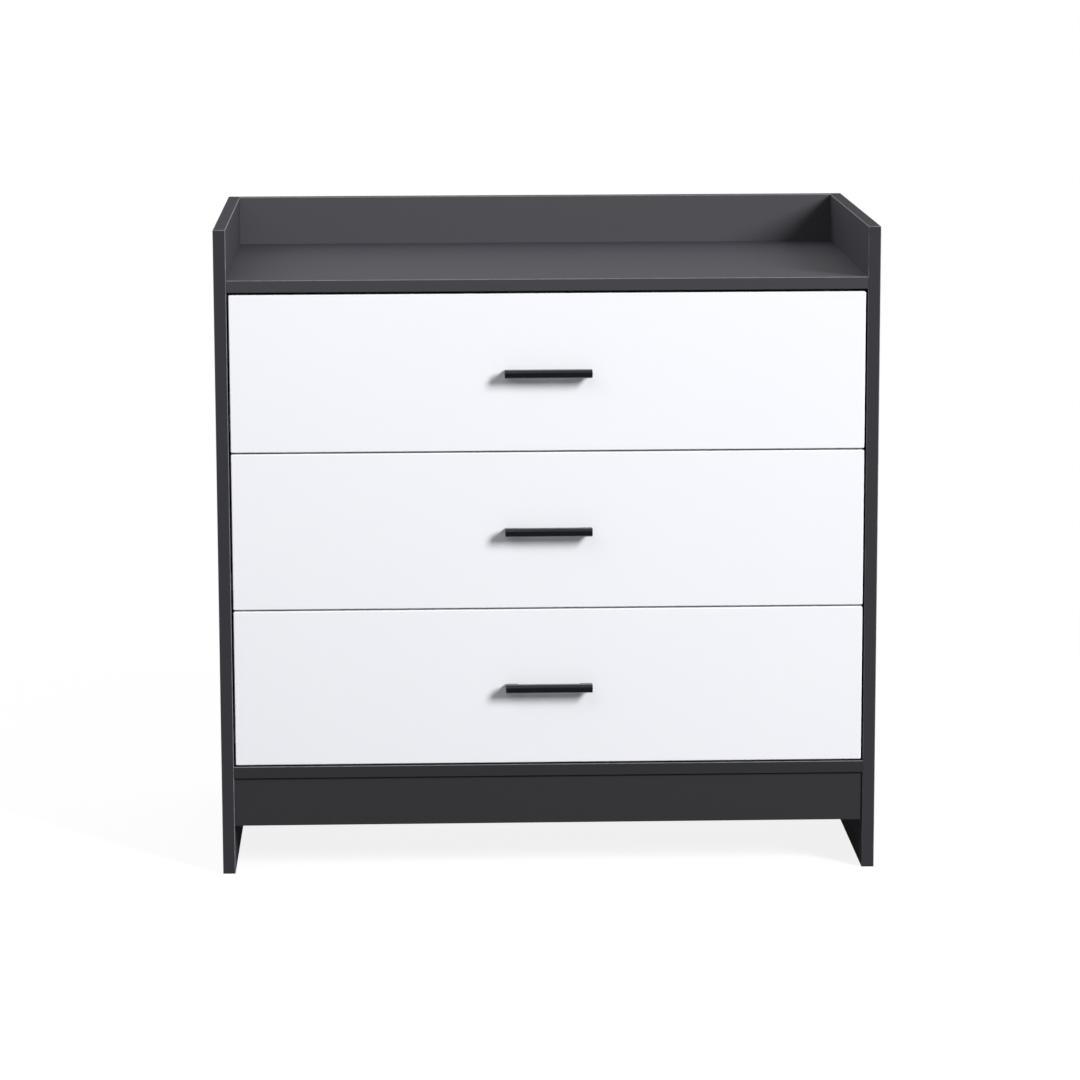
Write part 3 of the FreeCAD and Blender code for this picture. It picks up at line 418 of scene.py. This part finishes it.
def add_piece(node, body, material, shells, crease=35):
    """Joins shells into one piece that rides on a body, in place of a node of the construction."""
    starts = np.cumsum([0] + [len(points) for points, faces in shells])
    faces = [[int(start) + corner for corner in face] for start, (_, skin) in zip(starts, shells) for face in skin]
    mesh = bpy.data.meshes.new(f"{node}_detailed")
    mesh.from_pydata(np.vstack([points for points, _ in shells]).tolist(), [], faces)
    mesh.shade_smooth()
    mesh.set_sharp_from_angle(angle=math.radians(crease))
    mesh.materials.append(material)
    piece = bpy.data.objects.new(mesh.name, mesh)
    bpy.context.scene.collection.objects.link(piece)
    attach(piece, body)
    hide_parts(node)


# ---------------------------------------------------------------- small fittings

CAM_RIM = 0.35 * MM
CAM_BOLT_THREAD = 11 * MM
NAIL_CHEQUER = 6 / MM
ROLLER_BORE = 2.55 * MM
ROLLER_HUB = 1.5 * MM
ROLLER_TREAD = 1.9 * MM

HANDLE_BAR = 10 * MM
HANDLE_FRONT_RADIUS = 4.6 * MM
HANDLE_EDGE = 0.5 * MM
HANDLE_END = 0.8 * MM
HANDLE_LEG = 16 * MM
HANDLE_LEG_HEIGHT = 7 * MM
HANDLE_CROOK = 7 * MM

WOOD_SCREW = {"head": 1.6 * MM, "shank": 2 * MM, "pitch": 1.8 * MM}
MACHINE_SCREW = {"head": 2.4 * MM, "shank": 2 * MM, "pitch": 0.8 * MM}

Fitting = namedtuple("Fitting", "start drive across radius length")


def loose_boxes(node):
    """The lowest and highest corner of each separate solid in a node of the construction."""
    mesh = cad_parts[node].data
    places = np.empty(len(mesh.vertices) * 3)
    mesh.vertices.foreach_get("co", places)
    ends = np.empty(len(mesh.edges) * 2, np.int32)
    mesh.edges.foreach_get("vertices", ends)
    spots, spot_of = np.unique(np.round(places.reshape(-1, 3), 5), axis=0, return_inverse=True)
    one, other = spot_of.reshape(-1)[ends].reshape(-1, 2).T
    solid, before = np.arange(len(spots)), None
    while before is None or (solid != before).any():
        before = solid.copy()
        np.minimum.at(solid, one, before[other])
        np.minimum.at(solid, other, before[one])
    return [(spots[solid == label].min(axis=0), spots[solid == label].max(axis=0)) for label in np.unique(solid)]


def seats(node, inwards=False):
    """Where each fitting of a node sits: the middle of its outer face, the way it is driven (up, forwards, or
    outwards unless inwards is set), a direction across that, its radius and its length."""
    found = []
    for low, high in loose_boxes(node):
        size = high - low
        axis = int(np.argmax(abs(size - np.median(size))))
        outwards = 1 if low[X] + high[X] > 0 else -1
        ways = (-outwards if inwards else outwards, -1, 1)
        drive = np.eye(3)[axis] * ways[axis]
        across = np.array([0.0, -1.0, 0.0]) if axis == X else np.array([outwards, 0.0, 0.0])
        start = (low + high) / 2 - drive * size[axis] / 2
        found.append(Fitting(start, drive, across, float(np.median(size)) / 2, float(size[axis])))
    return found


def cross_recess(across, up, arm, half_width, slope):
    """How deep a cross recess is, from 0 outside it to 1 on its floor: the distance inside its arms / slope."""
    level = np.maximum(abs(across) - arm, abs(up) - half_width)
    upright = np.maximum(abs(up) - arm, abs(across) - half_width)
    return np.clip(-np.minimum(level, upright) / slope, 0, 1)


def thread(along, angle, pitch, depth):
    """Height of a screw thread: depth * (1 - |2 t - 1|), t being the part after the point of along / pitch - angle /
    (2 pi)."""
    return depth * (1 - abs(2 * ((along / pitch - angle / (2 * np.pi)) % 1) - 1))


def screw(seat, head, shank, pitch):
    """A pan-headed screw: its cap rises as rim * (out / radius) squared and has a cross pressed in, and its core
    carries a thread and runs out to a point."""
    rim, core = 0.5 * head, 0.72 * shank
    cap = line((0, 0.03 * seat.radius), (0, seat.radius), 18)
    cap[:, 0] = rim * (cap[:, 1] / seat.radius) ** 2
    tail = seat.length - 1.2 * shank
    turns = int((tail - head) / pitch * 5)
    stem = line((head, core), (tail, core), turns)
    profile = [cap, line((0.9 * head, seat.radius), (head, 0.94 * seat.radius)), stem, [(seat.length, 0.1 * shank)]]

    arm, half_width, slope = 0.6 * seat.radius, 0.14 * seat.radius, 0.2 * MM

    def relief(along, out, angle):
        pressed = cross_recess(out * np.cos(angle), out * np.sin(angle), arm, half_width, slope)
        on_cap = along <= rim
        on_stem = (along > head + FINEST) & (along < tail + FINEST)
        return along + on_cap * pressed * 0.5 * head, out + on_stem * thread(along, angle, pitch, shank - core)

    return shell(turned(profile, seat, 48, relief))


def nail(seat, head, shank):
    """A round nail with a chequered face: along is deepened by cos(k x) * cos(k y) where that is above 0, with k the
    radians per metre of NAIL_CHEQUER."""
    face = line((0, 0.05 * seat.radius), (0, 0.9 * seat.radius), 10)
    edge = [(0.3 * head, seat.radius), (head, seat.radius)]
    stem = [(head, shank), (seat.length - 3 * shank, shank), (seat.length, 0.1 * shank)]

    def relief(along, out, angle):
        chequer = np.cos(NAIL_CHEQUER * out * np.cos(angle)) * np.cos(NAIL_CHEQUER * out * np.sin(angle))
        return along + (along < 0.1 * head) * np.clip(chequer, 0, 1) * 0.1 * MM, out

    return shell(turned([face, edge, stem], seat, 32, relief))


def cam(seat, bolt_depth, bolt_radius):
    """A cam of a knock-down joint. Its face has a rim, a cross recess and an arrow towards the bolt, and its wall is
    hollowed on that side, round the bolt's end."""
    radius, depth = seat.radius, seat.length
    face = line((CAM_RIM, 0.02 * radius), (CAM_RIM, 0.82 * radius), 24)
    lip = [(0, 0.86 * radius), (0, 0.94 * radius)]
    wall = line((0.06 * depth, radius), (0.95 * depth, radius), 24)
    back = [(depth, 0.94 * radius), (depth, 0.1 * radius)]

    def relief(along, out, angle):
        across, up = out * np.cos(angle), out * np.sin(angle)
        pressed = cross_recess(across, up, 0.52 * radius, 0.15 * radius, 0.25 * MM) * 0.35 * depth
        arrow = (across > 0.58 * radius) & (abs(up) < (0.8 * radius - across) * 0.8)
        on_face = (along == CAM_RIM) & (out < 0.81 * radius)
        mouth = bolt_radius + 0.5 * MM
        beside = (across > 0) & (abs(up) < mouth) & (abs(along - bolt_depth) < mouth)
        hollow = beside & (out >= radius)
        return along + on_face * np.maximum(pressed, arrow * 0.4 * MM), out * (1 - 0.7 * hollow)

    return shell(turned([face, lip, wall, back], seat, 72, relief))


def cam_bolt(seat):
    """A cam's bolt: a ball that the cam grips, a thin neck, a shaft, a collar and a threaded end."""
    radius, length, ball, core = seat.radius, seat.length, 0.8 * seat.radius, 0.72 * seat.radius
    collar, tail = length - CAM_BOLT_THREAD, length - 0.4 * radius
    profile = [
        bend((ball, 0), ball, 175, 40, 10),
        [(2.0 * ball, 0.45 * radius), (2.9 * ball, 0.45 * radius)],
        [(3.2 * ball, 0.8 * radius), (collar - 0.7 * radius, 0.8 * radius)],
        [(collar - 0.5 * radius, radius), (collar - 0.1 * radius, radius)],
        line((collar, core), (tail, core), 40),
        [(length, 0.4 * radius)],
    ]

    def relief(along, out, angle):
        on_thread = (along > collar) & (along < tail)
        return along, out + on_thread * thread(along, angle, 0.5 * radius, radius - core)

    return shell(turned(profile, seat, 32, relief))


def roller(seat):
    """A moulded roller: a tread with round shoulders, a hub, and on both faces a sunk web with six ribs."""
    radius, width = seat.radius, seat.length
    shoulder, sink = 0.9 * MM, 1.1 * MM
    inside, hub = radius - ROLLER_TREAD, ROLLER_BORE + ROLLER_HUB
    near = [(0, hub), (sink, hub + 0.4 * MM), (sink, inside - 0.4 * MM), (0, inside)]
    far = [(width - along, out) for along, out in reversed(near)]
    profile = [
        bend((shoulder, radius - shoulder), shoulder, 180, 90),
        bend((width - shoulder, radius - shoulder), shoulder, 90, 0),
        far,
        [(width, ROLLER_BORE + 0.2 * MM), (width - 0.2 * MM, ROLLER_BORE)],
        [(0.2 * MM, ROLLER_BORE), (0, ROLLER_BORE + 0.2 * MM)],
        near,
    ]

    def relief(along, out, angle):
        web = (out > hub + 0.2 * MM) & (out < inside - 0.2 * MM)
        rib = np.clip((np.cos(6 * angle) - 0.6) / 0.2, 0, 1) * 0.8 * sink * web
        return along + np.where(along < width / 2, -rib, rib), out

    return shell(turned(profile, seat, 72, relief), looped=True)


def bow_handle(low, high):
    """A bow handle. The bar's ends are rounded over: inset = size * (1 - sin(turn)) at place = size * (1 - cos(turn)).
    Each leg widens along a quarter circle where it meets the bar."""
    bar_rear = low.y + HANDLE_BAR
    over = np.radians(np.linspace(0, 90, 7))
    ends, insets = HANDLE_END * (1 - np.cos(over)), HANDLE_END * (1 - np.sin(over))
    places = np.concatenate([low.x + ends, (high.x - ends)[::-1]])
    radii = (HANDLE_EDGE, HANDLE_FRONT_RADIUS, HANDLE_FRONT_RADIUS, HANDLE_EDGE)
    insets = np.concatenate([insets, insets[::-1]])
    parts = [shell(swept(places, (low.y, low.z), (bar_rear, high.z), radii, insets, X, 10))]
    crook = np.linspace(0, HANDLE_CROOK, 11)
    widening = HANDLE_CROOK - np.sqrt(HANDLE_CROOK**2 - (HANDLE_CROOK - crook) ** 2)
    along = np.concatenate([[bar_rear - HANDLE_EDGE], bar_rear + crook, [high.y]])
    reach = HANDLE_LEG + np.concatenate([[HANDLE_CROOK], widening, [0]])
    floor = (low.z + high.z - HANDLE_LEG_HEIGHT) / 2
    for side in (-1, 1):
        edges = np.sort([np.full(len(along), side * high.x), side * (high.x - reach)], axis=0)
        lows = np.column_stack([np.full(len(along), floor), edges[0]])
        highs = np.column_stack([np.full(len(along), floor + HANDLE_LEG_HEIGHT), edges[1]])
        parts.append(shell(swept(along, lows, highs, [HANDLE_EDGE] * 4, 0, Y)))
    return parts


def fit_carcass():
    """The small fittings of the carcass, each in full detail."""
    cams = [cam(seat, bolt_depth=8 * MM, bolt_radius=3 * MM) for seat in seats("cam_locks")]
    add_piece("cam_locks", "cabinet", ZINC, cams)
    add_piece("cam_bolts", "cabinet", STEEL, [cam_bolt(seat) for seat in seats("cam_bolts")])
    screws = [screw(seat, **WOOD_SCREW) for seat in seats("runner_screws")]
    add_piece("runner_screws", "cabinet", STEEL, screws)
    nails = [nail(seat, head=0.8 * MM, shank=0.8 * MM) for seat in seats("back_panel_nails")]
    add_piece("back_panel_nails", "cabinet", STEEL, nails)


def fit_drawers():
    """The handles, rollers, screws and cams of each drawer, in full detail."""
    for level in DRAWERS:
        body = f"drawer_{level}"
        add_piece(f"{body}_handle", body, BLACK, bow_handle(*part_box(f"{body}_handle")))
        machine_screws = [screw(seat, **MACHINE_SCREW) for seat in seats(f"{body}_handle_screws")]
        add_piece(f"{body}_handle_screws", body, STEEL, machine_screws)
        rail_screws = [screw(seat, **WOOD_SCREW) for seat in seats(f"{body}_rail_screws")]
        add_piece(f"{body}_rail_screws", body, STEEL, rail_screws)
        cam_seats = seats(f"{body}_cam_locks", inwards=True)
        cams = [cam(seat, bolt_depth=6 * MM, bolt_radius=2.5 * MM) for seat in cam_seats]
        add_piece(f"{body}_cam_locks", body, ZINC, cams)
        bolts = [cam_bolt(seat) for seat in seats(f"{body}_cam_bolts")]
        add_piece(f"{body}_cam_bolts", body, STEEL, bolts)
        for rollers in (f"{body}_rollers", f"cabinet_rollers_{level}"):
            add_piece(rollers, rollers, NYLON, [roller(seat) for seat in seats(rollers)])


# ---------------------------------------------------------------- studio

VIEW_DISTANCE = 5.135
VIEW_AZIMUTH = math.radians(-1.92)
VIEW_ELEVATION = math.radians(9.99)
VIEW_ROLL = math.radians(-0.16)
VIEW_LENS = 133.0
AIM_ASIDE = -11 * MM
AIM_HEIGHT = 0.5215

FLOOR_RADIUS = 60.0
FLOOR_GAP = 0.2 * MM
PAPER_GREY = screen(126, 126, 128)
PAPER_WHITENING = 0.86
FRONT_FILL = 0.105
REAR_FILL = 0.8
FILL_WARMTH = (1.0, 0.97, 0.94, 1.0)
FRONT_ROOM = 0.25


def direction(azimuth, elevation):
    """The unit vector towards a place round the chest: azimuth 0 is in front of it and grows to its right."""
    flat = math.cos(elevation)
    return Vector((math.sin(azimuth) * flat, -math.cos(azimuth) * flat, math.sin(elevation)))


def looking_from(place, target, roll=0.0):
    """The turn and place of a lamp or camera that looks at a target."""
    turn = (target - place).to_track_quat("-Z", "Y").to_matrix().to_4x4()
    return Matrix.Translation(place) @ turn @ Matrix.Rotation(roll, 4, "Z")


def add_camera():
    lens = bpy.data.cameras.new("viewpoint")
    lens.lens = VIEW_LENS
    camera = bpy.data.objects.new("viewpoint", lens)
    bpy.context.scene.collection.objects.link(camera)
    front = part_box("side_panel_left")[0].y
    target = Vector((AIM_ASIDE, front, AIM_HEIGHT * construction_box[1][Z]))
    place = target + VIEW_DISTANCE * direction(VIEW_AZIMUTH, VIEW_ELEVATION)
    camera.matrix_world = looking_from(place, target, VIEW_ROLL)
    bpy.context.scene.camera = camera


def softbox(name, azimuth, elevation, distance, width, height, power):
    """A soft oblong lamp that faces the middle of the chest."""
    lamp = bpy.data.lights.new(name, "AREA")
    lamp.shape = "RECTANGLE"
    lamp.size = width
    lamp.size_y = height
    lamp.energy = power
    holder = bpy.data.objects.new(name, lamp)
    holder.visible_camera = False
    bpy.context.scene.collection.objects.link(holder)
    middle = (Vector(construction_box[0]) + Vector(construction_box[1])) / 2
    place = middle + distance * direction(math.radians(azimuth), math.radians(elevation))
    holder.matrix_world = looking_from(place, middle)


def rays(finish, kind):
    """1 for rays of that kind, 0 for the rest."""
    return finish.node("ShaderNodeLightPath", output=f"Is {kind} Ray")


def gloss_rays(finish):
    """1 for the rays that a gloss or a clear material sends out, 0 for the rest."""
    return rays(finish, "Glossy").larger(rays(finish, "Transmission"))


def disc(name, radius, height, rings=24, spokes=96):
    """A level disc on a polar grid: ring i of n lies at radius * (i / n) cubed, so the grid is fine at its middle."""
    reach = radius * (np.arange(1, rings + 1) / rings) ** 3
    angle = np.arange(spokes) * 2 * np.pi / spokes
    rim = np.stack([np.outer(reach, np.cos(angle)), np.outer(reach, np.sin(angle))], -1).reshape(-1, 2)
    points = np.column_stack([np.vstack([[0, 0], rim]), np.full(len(rim) + 1, height)])
    here = np.arange(spokes) + 1
    beside = np.roll(here, -1)
    ring = (np.arange(rings - 1) * spokes)[:, None]
    corners = [here + ring, here + ring + spokes, beside + ring + spokes, beside + ring]
    quads = np.stack(corners, -1).reshape(-1, 4)
    fan = np.column_stack([np.zeros(spokes, int), here, beside])
    mesh = bpy.data.meshes.new(name)
    mesh.from_pydata(points.tolist(), [], quads.tolist() + fan.tolist())
    made = bpy.data.objects.new(name, mesh)
    bpy.context.scene.collection.objects.link(made)
    return made


def add_floor():
    """Pale paper that the eye sees lifted to white. Near the chest it keeps the chest's shadow."""
    floor = disc("floor", FLOOR_RADIUS, construction_box[0][Z] - FLOOR_GAP)
    paper = Finish("pale_paper", roughness=0.9, specular_ior_level=0.0, emission_strength=1.0)
    fleck = paper.clouds(4 * MM, 2.0)
    paper.paint(base_color=paper.mix(fleck * 0.1, PAPER_GREY, screen(120, 120, 122)))
    lift = rays(paper, "Camera") * PAPER_WHITENING
    paper.paint(emission_color=paper.mix(lift, (0, 0, 0, 1), (1, 1, 1, 1)))
    away = paper.node("ShaderNodeVectorMath", {"operation": "LENGTH"}, {0: paper.place}, "Value")
    behind = paper.parts(paper.place)[Y].step(0.5, 2.0)
    plain = (rays(paper, "Camera") * away.step(0.6, 1.8)).larger(gloss_rays(paper) * behind)
    white = paper.node("ShaderNodeEmission", None, {"Color": (1, 1, 1, 1), "Strength": 1.0})
    lit = Value(paper, paper.shader.outputs[0])
    shown = paper.node("ShaderNodeMixShader", None, {0: plain, 1: lit, 2: white})
    paper.feed(paper.output.inputs["Surface"], shown)
    floor.data.materials.append(paper.material)


class Surroundings(Finish):
    """The light that comes from all round, built in the same way as a material."""

    def __init__(self, name):
        world = bpy.data.worlds.new(name)
        world.use_nodes = True
        self.tree = world.node_tree
        self.tree.nodes.clear()
        self.output = self.tree.nodes.new("ShaderNodeOutputWorld")
        self.place = self.node("ShaderNodeTexCoord", output="Object")
        bpy.context.scene.world = world


def add_surroundings():
    """A white room. The eye sees it at a strength of 1, and so does a gloss that looks up or behind the chest. As the
    light that fills, it is dim in front and stronger from behind and from the left."""
    room = Surroundings("white_room")
    x, y, z = room.parts(room.place)
    gloss = gloss_rays(room)
    shade = FRONT_ROOM + (1 - FRONT_ROOM) * y.step(-0.3, 0.5).larger(z.step(0.3, 0.8))
    direct = rays(room, "Camera").larger(gloss)
    open_side = y.step(-0.3, 0.8).larger((0 - x).step(0.65, 1.0))
    fill = FRONT_FILL + (REAR_FILL - FRONT_FILL) * open_side
    strength = rays(room, "Camera").larger(gloss * shade).larger((1 - direct) * fill)
    colour = room.mix(direct, FILL_WARMTH, (1, 1, 1, 1))
    light = room.node("ShaderNodeBackground", None, {"Color": colour, "Strength": strength})
    room.feed(room.output.inputs["Surface"], light)


dress_carcass()
dress_drawers()
fit_carcass()
fit_drawers()
add_camera()
add_floor()
add_surroundings()
softbox("key_light", azimuth=45, elevation=27, distance=10.0, width=2.4, height=3.5, power=1200)
softbox("side_light", azimuth=-110, elevation=35, distance=6.0, width=3.0, height=3.0, power=115)
softbox("top_light", azimuth=-30, elevation=40, distance=2.1, width=1.4, height=1.0, power=6)
bpy.context.scene.view_settings.view_transform = "Standard"
